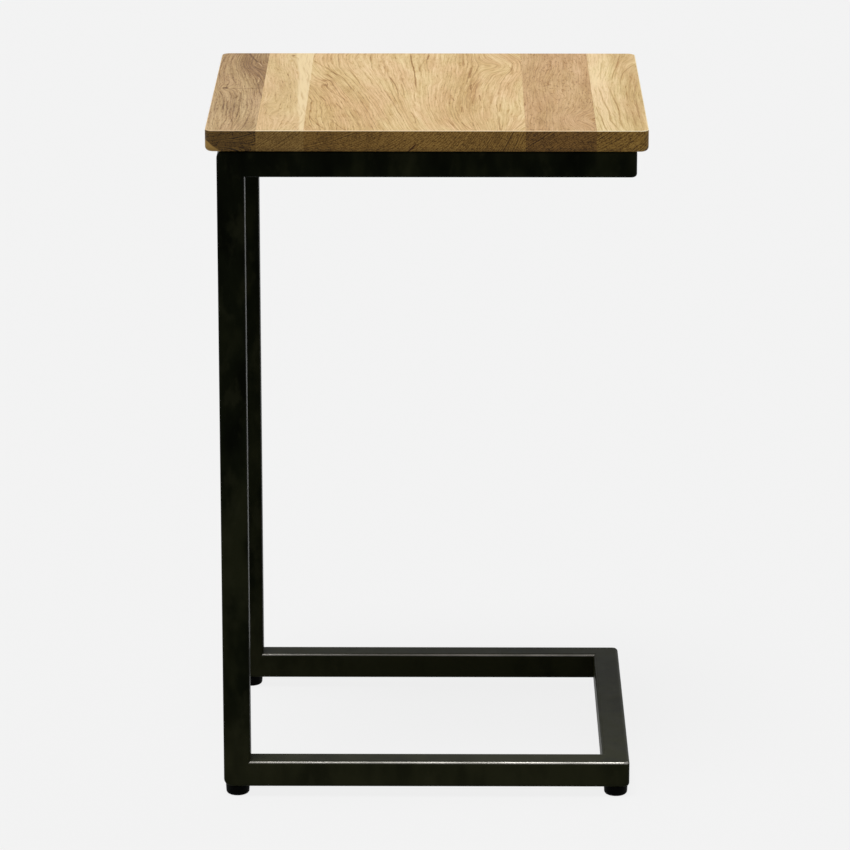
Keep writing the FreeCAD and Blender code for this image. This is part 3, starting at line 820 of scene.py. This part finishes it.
CORNERS = [f"{side}_{end}" for side in ("front", "rear") for end in ("left", "right")]
GLIDES = [f"{corner}_glide" for corner in CORNERS]
STUDS = [f"{corner}_stud" for corner in CORNERS]
STEEL = ["top_screws", "top_screw_washers", "foot_inserts"] + STUDS
paint = black_paint()
zinc = zinc_steel()
for plank, look in OAK.items():
    assign(oak(plank, look), [plank])
assign(black_plastic(), GLIDES)
assign(zinc, STEEL)
dressed = [*OAK, *GLIDES, *STEEL]
assign(paint, [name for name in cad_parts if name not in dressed])


def add_piece(name, points, faces, material, body, sharp_angle):
    """A new mesh piece that rides on a body, smooth but for edges sharper than an angle in degrees."""
    mesh = bpy.data.meshes.new(name)
    mesh.from_pydata(points, [], faces)
    mesh.polygons.foreach_set("use_smooth", [True] * len(mesh.polygons))
    mesh.set_sharp_from_angle(angle=math.radians(sharp_angle))
    mesh.materials.append(material)
    piece = bpy.data.objects.new(name, mesh)
    bpy.context.scene.collection.objects.link(piece)
    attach(piece, body)
    return piece


def tube_faces(rows, columns, start=0):
    """Faces of a closed tube: rows of points that go round it, and a cap at each end."""
    faces = [list(range(start + columns - 1, start - 1, -1))]
    for row in range(rows - 1):
        for column in range(columns):
            beside = (column + 1) % columns
            low = start + row * columns
            high = low + columns
            faces.append([low + column, low + beside, high + beside, high + column])
    last = start + (rows - 1) * columns
    faces.append(list(range(last, last + columns)))
    return faces


# Levelling studs: a round head that is moulded into the foot, and a right-hand M6 thread, in metres.
# CREST_HALF and ROOT_HALF are half the flats of the thread's crest and root, as parts of its pitch.
STUD_RADIUS = 0.00297
STUD_ROOT_RADIUS = 0.00239
STUD_HEAD_HEIGHT = 0.002
STUD_HEAD_ROUNDING = 0.0003
STUD_CHAMFER = 0.0008
STUD_SHARP_ANGLE = 38.0
THREAD_PITCH = 0.001
THREAD_STEPS = 16
CREST_HALF = 1 / 16
ROOT_HALF = 1 / 8


def thread_height(step):
    """0 at the root and 1 at the crest of the thread, for one of the steps of a turn."""
    from_crest = abs(step % THREAD_STEPS / THREAD_STEPS - 0.5)
    flank = (0.5 - ROOT_HALF - from_crest) / (0.5 - ROOT_HALF - CREST_HALF)
    return min(1.0, max(0.0, flank))


def stud_rows(low, high, head_radius):
    """Heights from the foot of a stud to its tip, each with the radii of the points that go round it."""
    neck = low + STUD_HEAD_HEIGHT
    yield low, [head_radius - STUD_HEAD_ROUNDING] * THREAD_STEPS
    yield low + STUD_HEAD_ROUNDING, [head_radius] * THREAD_STEPS
    yield neck - STUD_HEAD_ROUNDING, [head_radius] * THREAD_STEPS
    yield neck, [head_radius - STUD_HEAD_ROUNDING] * THREAD_STEPS
    count = round((high - neck) / THREAD_PITCH * THREAD_STEPS)
    for row in range(count + 1):
        height = neck + (high - neck) * row / count
        run_out = min(1.0, (height - neck) / THREAD_PITCH, (high - height) / STUD_CHAMFER)
        depth = (STUD_RADIUS - STUD_ROOT_RADIUS) * run_out
        yield height, [STUD_ROOT_RADIUS + depth * thread_height(row - step) for step in range(THREAD_STEPS)]


def add_stud(corner):
    """A threaded stud that stands for the plain one of a foot."""
    low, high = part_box(f"{corner}_stud")
    centre_x = (low[0] + high[0]) / 2
    centre_y = (low[1] + high[1]) / 2
    rows = list(stud_rows(low[2], high[2], (high[0] - low[0]) / 2))
    points = []
    for height, radii in rows:
        for step, radius in enumerate(radii):
            angle = 2 * math.pi * step / THREAD_STEPS
            points.append((centre_x + radius * math.cos(angle), centre_y + radius * math.sin(angle), height))
    faces = tube_faces(len(rows), THREAD_STEPS)
    name = f"{corner}_threaded_stud"
    stud = add_piece(name, points, faces, zinc, f"{corner}_foot", STUD_SHARP_ANGLE)
    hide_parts(f"{corner}_stud")


for corner in CORNERS:
    add_stud(corner)

# Weld beads where nobody sees them, under the top: rippled fillets, in metres.
BEAD_LEG = 0.0025
BEAD_SINK = 0.0003
BEAD_RIPPLE = 0.0013
BEAD_ROWS_PER_RIPPLE = 6
BEAD_ARC_STEPS = 6
BEAD_HOLLOW = 0.2
BEAD_RIPPLE_HEIGHT = 0.08
BEAD_RIPPLE_LAG = 0.4
BEAD_END_SIZE = 0.3
BEAD_END_GAP = 0.0015
BEAD_SHARP_ANGLE = 60.0


def bead_points(start, end, first_face, second_face):
    """Points of one bead along the corner from start to end, with its legs along two faces."""
    start, end = Vector(start), Vector(end)
    first_face, second_face = Vector(first_face), Vector(second_face)
    if (end - start).dot(first_face.cross(second_face)) < 0:
        first_face, second_face = second_face, first_face
    length = (end - start).length
    count = round(length / BEAD_RIPPLE * BEAD_ROWS_PER_RIPPLE)
    points = []
    for row in range(count + 1):
        along = length * row / count
        corner = start.lerp(end, row / count)
        near_end = min(1.0, min(along, length - along) / BEAD_LEG)
        size = BEAD_LEG * (BEAD_END_SIZE + (1 - BEAD_END_SIZE) * math.sqrt(1 - (1 - near_end) ** 2))
        points.append(corner - (first_face + second_face) * BEAD_SINK)
        for step in range(BEAD_ARC_STEPS + 1):
            angle = math.pi / 2 * step / BEAD_ARC_STEPS
            bulge = math.sin(2 * angle)
            wave = math.cos(2 * math.pi * (along / BEAD_RIPPLE - BEAD_RIPPLE_LAG * bulge))
            reach = size * (1 - BEAD_HOLLOW * bulge) * (1 + BEAD_RIPPLE_HEIGHT * wave * bulge)
            points.append(corner + (first_face * math.cos(angle) + second_face * math.sin(angle)) * reach)
    return points


def add_beads(name, corners):
    """One piece of several beads, each given as start, end and the directions of its two faces."""
    columns = BEAD_ARC_STEPS + 2
    points = []
    faces = []
    for corner in corners:
        bead = bead_points(*corner)
        faces += tube_faces(len(bead) // columns, columns, len(points))
        points += bead
    add_piece(name, points, faces, paint, "table", BEAD_SHARP_ANGLE)


def bracket_corners():
    """Both upright edges of each bracket, where it stands on the rail's wall."""
    for corner in CORNERS:
        low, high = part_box(f"{corner}_bracket")
        wall, inward = (low[1], 1.0) if corner.startswith("front") else (high[1], -1.0)
        for edge, outward in ((low[0], -1.0), (high[0], 1.0)):
            start = (edge, wall, low[2] + BEAD_END_GAP)
            end = (edge, wall, high[2] - 2 * BEAD_END_GAP)
            yield start, end, (outward, 0.0, 0.0), (0.0, inward, 0.0)


def rail_corners():
    """The inner upright corners of the top frame, and the underside of the rail between the legs."""
    left_low, left_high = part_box("top_left_cross_rail")
    right_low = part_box("top_right_cross_rail")[0]
    for wall, inward in ((left_low[1], 1.0), (left_high[1], -1.0)):
        for edge, towards in ((left_high[0], 1.0), (right_low[0], -1.0)):
            start = (edge, wall, left_low[2] + 2 * BEAD_END_GAP)
            end = (edge, wall, left_high[2] - 2 * BEAD_END_GAP)
            yield start, end, (towards, 0.0, 0.0), (0.0, inward, 0.0)
        start = (left_low[0] + 2 * BEAD_END_GAP, wall, left_low[2])
        end = (left_high[0] - 2 * BEAD_END_GAP, wall, left_low[2])
        yield start, end, (0.0, inward, 0.0), (0.0, 0.0, -1.0)


add_beads("bracket_welds", bracket_corners())
add_beads("top_frame_welds", rail_corners())

# Stage: a pale floor that runs to the horizon, and soft studio light from above. The background has its own
# light, and FLOOR_OWN_LIGHT is the floor's share of it. The rest of the floor takes the object's shadow.
BACKGROUND = srgb(243, 243, 243)
FLOOR_SIZE = 60.0
FLOOR_OWN_LIGHT = 0.88
FLOOR_MATT = srgb(178, 178, 178)
FLOOR_GLOW = srgb(250, 250, 250)
WORLD_COLOUR = srgb(255, 255, 255)
WORLD_LIGHT = 0.3
# Each lamp: the direction towards it, its strength, and its width in degrees.
LAMPS = {
    "key": ((-0.12, -0.18, 1.0), 2.0, 24.0),
    "back": ((0.4, 0.9, 0.7), 0.35, 40.0),
}


def background_rays(tree):
    """1 for rays that see the background itself: from the camera, in gloss or through something clear."""
    path = tree.nodes.new("ShaderNodeLightPath")
    rays = path.outputs["Is Camera Ray"]
    for kind in ("Is Glossy Ray", "Is Transmission Ray"):
        either = tree.nodes.new("ShaderNodeMath")
        either.operation = "MAXIMUM"
        tree.links.new(rays, either.inputs[0])
        tree.links.new(path.outputs[kind], either.inputs[1])
        rays = either.outputs[0]
    return rays


def mix_shaders(tree, share, first, second, output_kind):
    """Goes from the first shader to the second while the share goes from 0 to 1, as the tree's surface."""
    mixed = tree.nodes.new("ShaderNodeMixShader")
    tree.links.new(share, mixed.inputs[0])
    tree.links.new(first.outputs[0], mixed.inputs[1])
    tree.links.new(second.outputs[0], mixed.inputs[2])
    output = tree.nodes.new(output_kind)
    tree.links.new(mixed.outputs[0], output.inputs["Surface"])


def make_floor():
    """A square floor around the table, with a matt part and a glowing part."""
    half = FLOOR_SIZE / 2
    corners = [(-half, -half, 0), (half, -half, 0), (half, half, 0), (-half, half, 0)]
    mesh = bpy.data.meshes.new("floor")
    mesh.from_pydata(corners, [], [(0, 1, 2, 3)])
    floor = bpy.data.objects.new("floor", mesh)
    bpy.context.scene.collection.objects.link(floor)
    material = bpy.data.materials.new("floor")
    material.use_nodes = True
    tree = material.node_tree
    tree.nodes.clear()
    matt = tree.nodes.new("ShaderNodeBsdfDiffuse")
    matt.inputs["Color"].default_value = FLOOR_MATT
    glow = tree.nodes.new("ShaderNodeEmission")
    glow.inputs["Color"].default_value = FLOOR_GLOW
    share = tree.nodes.new("ShaderNodeMath")
    share.operation = "MULTIPLY"
    tree.links.new(background_rays(tree), share.inputs[0])
    share.inputs[1].default_value = FLOOR_OWN_LIGHT
    mix_shaders(tree, share.outputs[0], matt, glow, "ShaderNodeOutputMaterial")
    mesh.materials.append(material)


def make_world():
    """Even light from all sides, and the background that the camera sees."""
    world = bpy.data.worlds.new("studio")
    bpy.context.scene.world = world
    world.use_nodes = True
    tree = world.node_tree
    tree.nodes.clear()
    ambient = tree.nodes.new("ShaderNodeBackground")
    ambient.inputs["Color"].default_value = WORLD_COLOUR
    ambient.inputs["Strength"].default_value = WORLD_LIGHT
    seen = tree.nodes.new("ShaderNodeBackground")
    seen.inputs["Color"].default_value = BACKGROUND
    mix_shaders(tree, background_rays(tree), ambient, seen, "ShaderNodeOutputWorld")


def soft_sun(name, towards, strength, spread):
    """Even soft light from far away."""
    light = bpy.data.lights.new(name, "SUN")
    light.energy = strength
    light.angle = math.radians(spread)
    lamp = bpy.data.objects.new(name, light)
    lamp.rotation_euler = Vector(towards).to_track_quat("Z", "Y").to_euler()
    bpy.context.scene.collection.objects.link(lamp)


make_floor()
make_world()
for lamp_name, lamp_values in LAMPS.items():
    soft_sun(lamp_name, *lamp_values)

# Camera: about as far away and as high as the photograph was taken from.
CAMERA_PLACE = (0.0207, -4.296, 1.544)
CAMERA_PITCH = 0.2787
CAMERA_YAW = -0.0054
CAMERA_LENS = 198.4
SENSOR = 36.0

camera = bpy.data.objects.new("camera", bpy.data.cameras.new("camera"))
camera.data.lens = CAMERA_LENS
camera.data.sensor_width = SENSOR
camera.location = CAMERA_PLACE
camera.rotation_euler = (math.pi / 2 - CAMERA_PITCH, 0.0, -CAMERA_YAW)
bpy.context.scene.collection.objects.link(camera)
bpy.context.scene.camera = camera
bpy.context.scene.view_settings.view_transform = "Standard"
